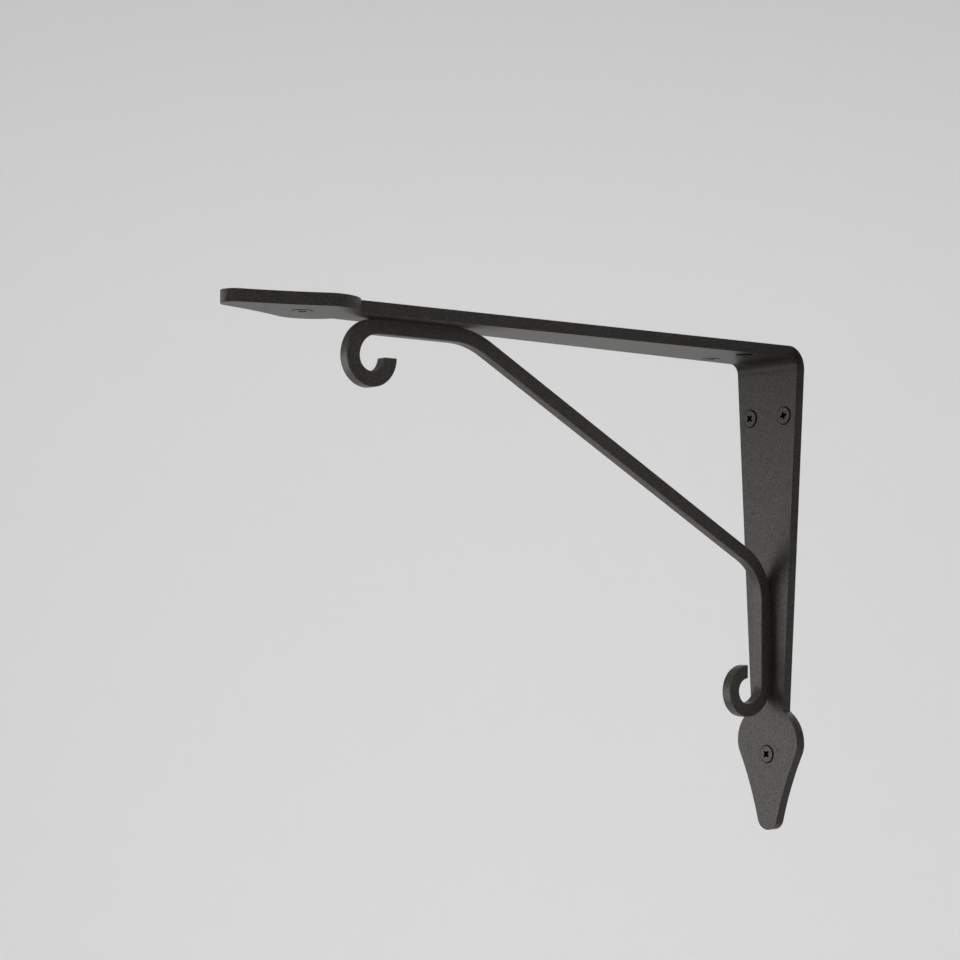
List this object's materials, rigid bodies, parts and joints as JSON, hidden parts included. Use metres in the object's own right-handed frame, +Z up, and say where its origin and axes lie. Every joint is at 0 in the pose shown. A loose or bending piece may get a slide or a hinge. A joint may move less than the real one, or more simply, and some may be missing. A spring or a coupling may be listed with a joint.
{
  "type": "shelf bracket",
  "caption": "Wrought-style steel shelf bracket: a bent strap with leaf-shaped ends, braced by a slanting square bar that curls into a scroll at each end, with countersunk screws.",
  "frame": {"origin": "on the side that lies against the wall, on the plane of symmetry, midway between the two upper wall screws", "axes": "+Z up towards the shelf, +Y into the wall so that the arm runs out along -Y, +X to the right as seen from the room"},
  "size_m": [0.03, 0.24, 0.18],
  "materials": {
    "powder_coated_strap": "fine-textured anthracite powder coat, matt",
    "powder_coated_bar": "fine-textured anthracite powder coat, matt",
    "blackened_screw": "painted with the bracket, satin"
  },
  "bodies": {
    "root": {"angle_strap": "powder_coated_strap", "scroll_brace": "powder_coated_bar", "wall_screw_upper_left": "blackened_screw", "wall_screw_upper_right": "blackened_screw", "wall_screw_lower": "blackened_screw", "shelf_screw_rear_left": "blackened_screw", "shelf_screw_rear_right": "blackened_screw", "shelf_screw_front": "blackened_screw"}
  },
  "joints": []
}
